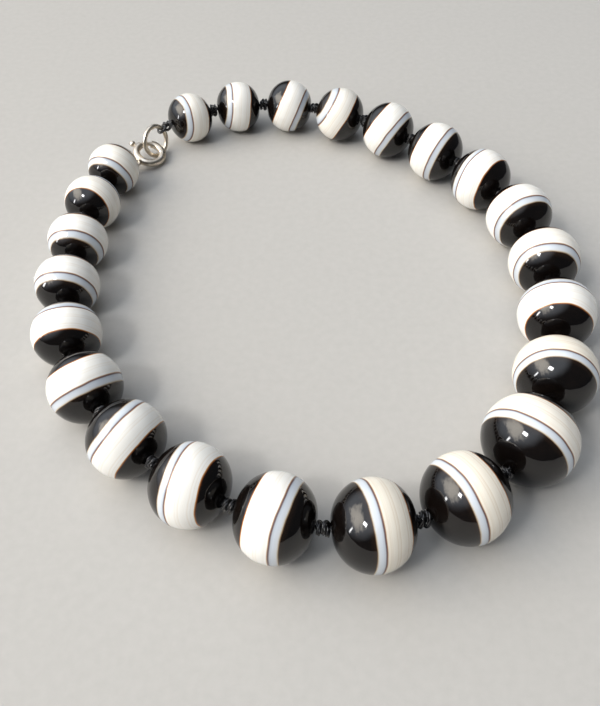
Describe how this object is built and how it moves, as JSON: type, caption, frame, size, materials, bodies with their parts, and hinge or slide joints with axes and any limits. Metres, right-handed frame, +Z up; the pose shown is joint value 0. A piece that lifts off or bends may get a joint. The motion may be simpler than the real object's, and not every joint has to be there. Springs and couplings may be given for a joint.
{
  "type": "agate bead necklace",
  "caption": "Graduated string of round banded agate beads, knotted on a black thread and closed by a silver spring ring and jump ring.",
  "frame": {"origin": "centre of the loop's box, on the surface that the beads rest on", "axes": "+Z up off the surface, +Y along the loop's long way, to the back, with the clasp back left and the middle bead front right"},
  "size_m": [0.1358, 0.1638, 0.02],
  "materials": {
    "agate": "highly polished, very dark brown with a milky white band and a pale blue stripe",
    "black_thread": "glossy black twisted thread",
    "silver": "polished silver, lightly worn"
  },
  "bodies": {
    "necklace": {"bead_01": "agate", "bead_02": "agate", "bead_03": "agate", "bead_04": "agate", "bead_05": "agate", "bead_06": "agate", "bead_07": "agate", "bead_08": "agate", "bead_09": "agate", "bead_10": "agate", "bead_11": "agate", "bead_12": "agate", "bead_13": "agate", "bead_14": "agate", "bead_15": "agate", "bead_16": "agate", "bead_17": "agate", "bead_18": "agate", "bead_19": "agate", "bead_20": "agate", "bead_21": "agate", "bead_22": "agate", "bead_23": "agate", "thread": "black_thread", "spring_ring": "silver", "jump_ring": "silver"},
    "bolt": {"clasp_bolt": "silver"}
  },
  "joints": [
    {"name": "trigger", "type": "hinge", "parent": "necklace", "child": "bolt", "pos_m": [-0.04833, 0.05579, 0.00282], "axis": [0.2524, -0.1783, 0.9511], "range_deg": [0, 54], "stiffness_Nm_per_rad": 0.008, "springref_deg": -20.05}
  ]
}
